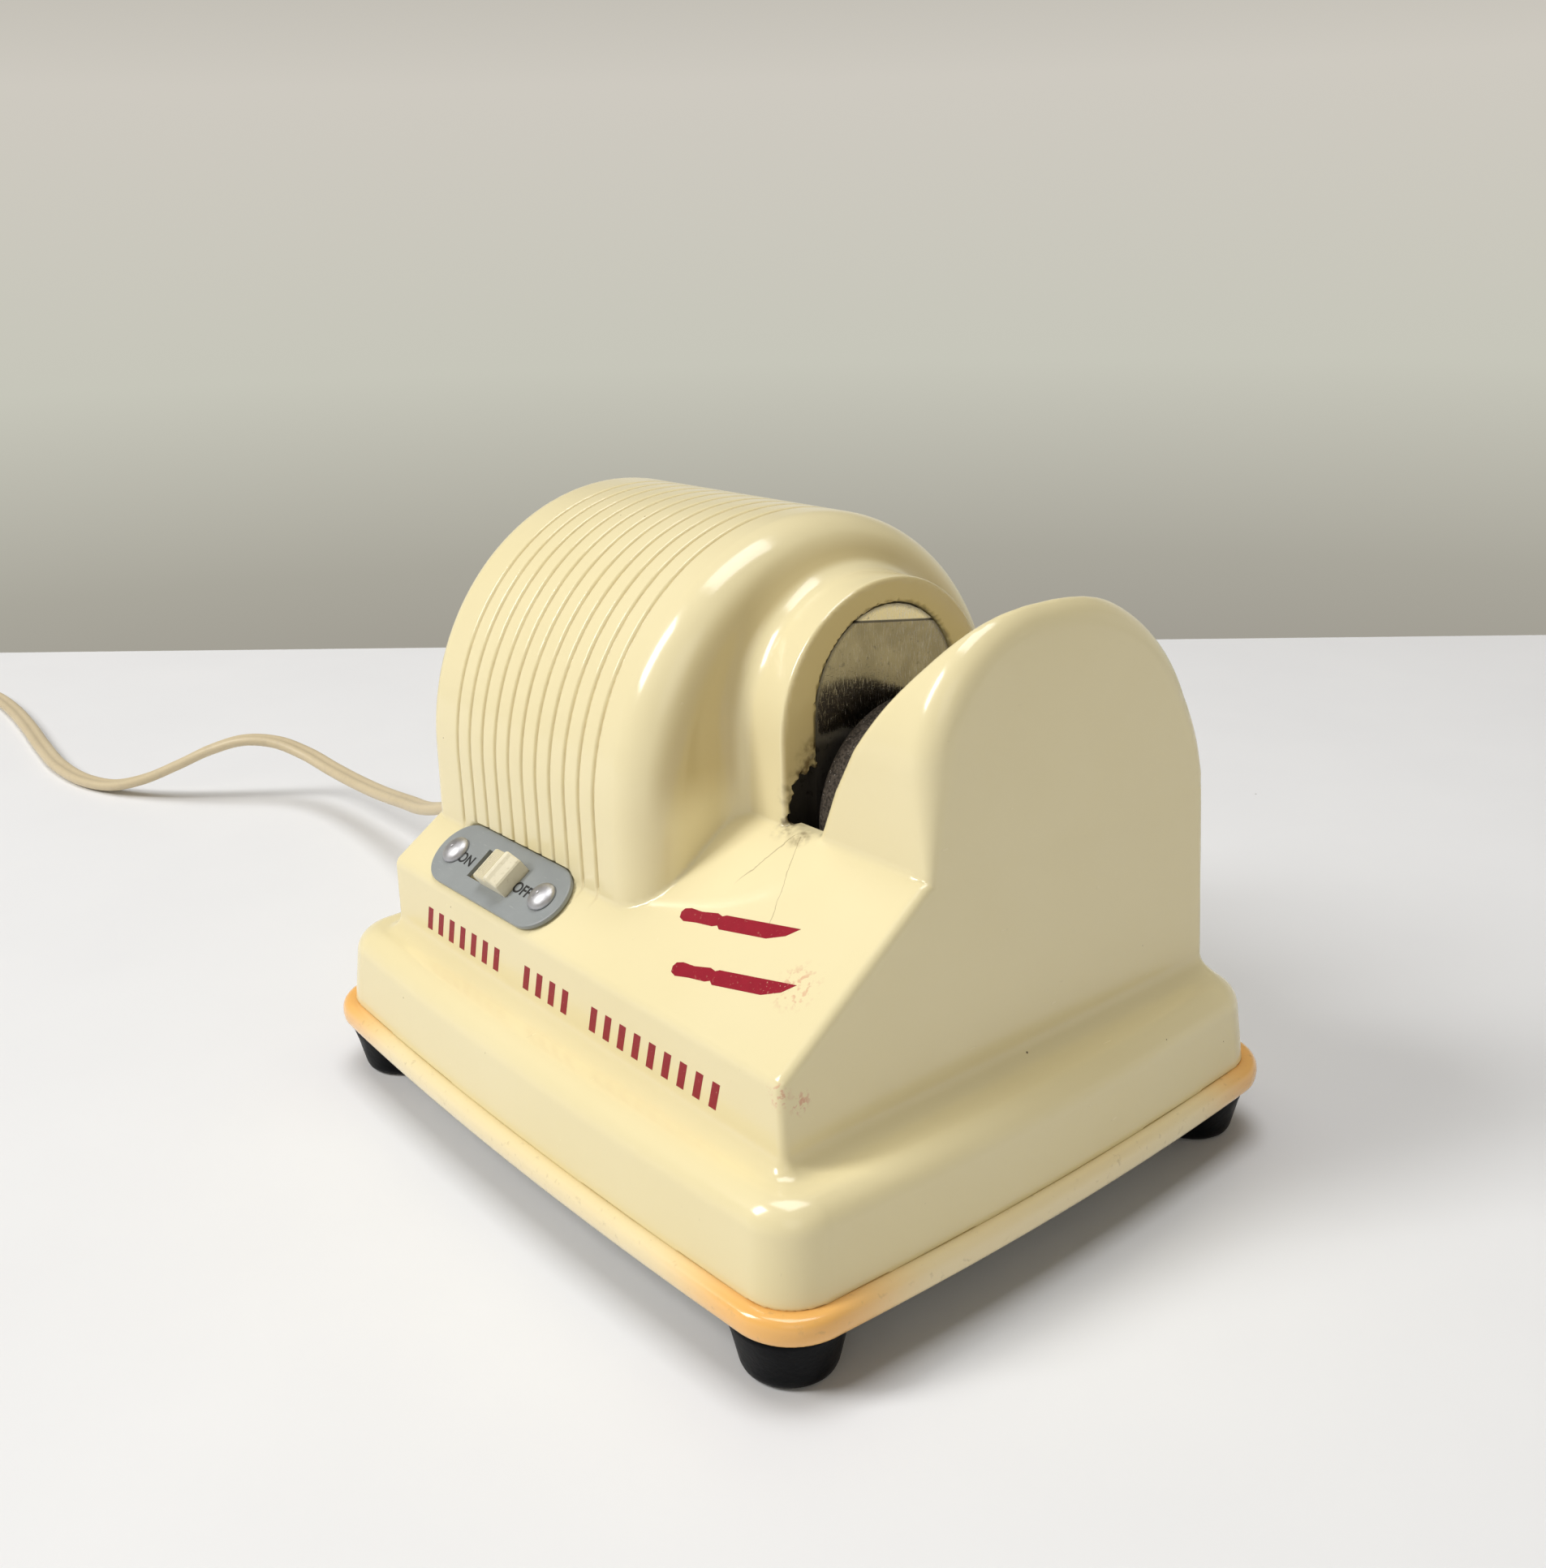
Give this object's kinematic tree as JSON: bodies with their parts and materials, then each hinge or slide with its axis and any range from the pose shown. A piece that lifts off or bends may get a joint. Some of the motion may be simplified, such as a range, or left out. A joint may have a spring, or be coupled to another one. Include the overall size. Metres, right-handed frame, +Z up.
{
  "type": "electric knife sharpener",
  "caption": "Countertop electric knife sharpener: ivory moulded housing with a grooved motor drum, V-shaped blade slot beside a grinding wheel, slide switch, rubber feet and mains cord.",
  "frame": {"origin": "middle of the base on the surface the feet stand on", "axes": "+X along the motor shaft towards the grinding wheel, -Y the front with the switch, +Z up"},
  "size_m": [0.5391, 0.1908, 0.1068],
  "materials": {
    "housing_ivory": "glossy ivory urea moulding, lightly yellowed and scuffed",
    "slider_ivory": "glossy ivory moulding with fine ribs",
    "edging_vinyl": "glossy amber vinyl, paler along the middle of each side",
    "black_rubber": "moulded black rubber, dull",
    "grey_paint": "satin grey enamel on steel",
    "rivet_aluminium": "domed and burnished",
    "fan_aluminium": "plain sheet, dusty",
    "guide_steel": "scratched by blades, grimy edges",
    "abrasive": "bonded aluminium-oxide grit, matt and speckled",
    "silicon_steel": "stacked laminations, dull",
    "copper_wire": "enamelled copper wire wound in layers",
    "phenolic": "brown phenolic board",
    "lead_insulation": "dark insulated lead",
    "sintered_bronze": "oil-soaked sintered bronze",
    "nut_brass": "turned and hex milled",
    "contact_brass": "stamped strip, slightly tarnished",
    "cord_vinyl": "aged beige vinyl, flat two-core",
    "plug_moulding": "brown moulded plug",
    "zinc_steel": "zinc plated"
  },
  "bodies": {
    "case": {"base_edging": "edging_vinyl", "base_plate": "zinc_steel", "blade_guide_plate": "guide_steel", "coil_bobbin": "phenolic", "coil_winding": "copper_wire", "cord_coil": "cord_vinyl", "cord_run": "cord_vinyl", "cord_tail": "cord_vinyl", "cradle_nut_back": "zinc_steel", "cradle_nut_front": "zinc_steel", "cradle_screw_back": "zinc_steel", "cradle_screw_front": "zinc_steel", "foot_1": "black_rubber", "foot_2": "black_rubber", "foot_3": "black_rubber", "foot_4": "black_rubber", "foot_screw_1": "zinc_steel", "foot_screw_2": "zinc_steel", "foot_screw_3": "zinc_steel", "foot_screw_4": "zinc_steel", "front_bearing": "sintered_bronze", "front_bearing_bracket": "zinc_steel", "guide_clip_1": "zinc_steel", "guide_clip_2": "zinc_steel", "housing": "housing_ivory", "motor_bolt_1": "zinc_steel", "motor_bolt_2": "zinc_steel", "motor_cradle": "zinc_steel", "motor_nut_1": "zinc_steel", "motor_nut_2": "zinc_steel", "motor_pad_back": "black_rubber", "motor_pad_front": "black_rubber", "plug_blade_1": "contact_brass", "plug_blade_2": "contact_brass", "plug_body": "plug_moulding", "rear_bearing": "sintered_bronze", "rear_bearing_bracket": "zinc_steel", "stator_core": "silicon_steel", "strain_relief": "cord_vinyl", "supply_lead": "lead_insulation", "switch_frame": "zinc_steel", "switch_insulator": "phenolic", "switch_plate": "grey_paint", "switch_rivet_1": "rivet_aluminium", "switch_rivet_2": "rivet_aluminium", "switch_terminal_1": "contact_brass", "switch_terminal_2": "contact_brass"},
    "spindle": {"motor_shaft": "zinc_steel", "rotor": "silicon_steel", "cooling_fan": "fan_aluminium", "inner_flange": "zinc_steel", "grinding_wheel": "abrasive", "outer_flange": "zinc_steel", "arbor_nut": "nut_brass"},
    "slider": {"switch_slider": "slider_ivory"}
  },
  "joints": [
    {"name": "rotor_spin", "type": "hinge", "parent": "case", "child": "spindle", "pos_m": [0, 0.0062, 0.0623], "axis": [1, 0, 0], "continuous": true},
    {"name": "switch_slide", "type": "slide", "parent": "case", "child": "slider", "axis": [1, 0, 0], "range_m": [-0.0044, 0]}
  ]
}
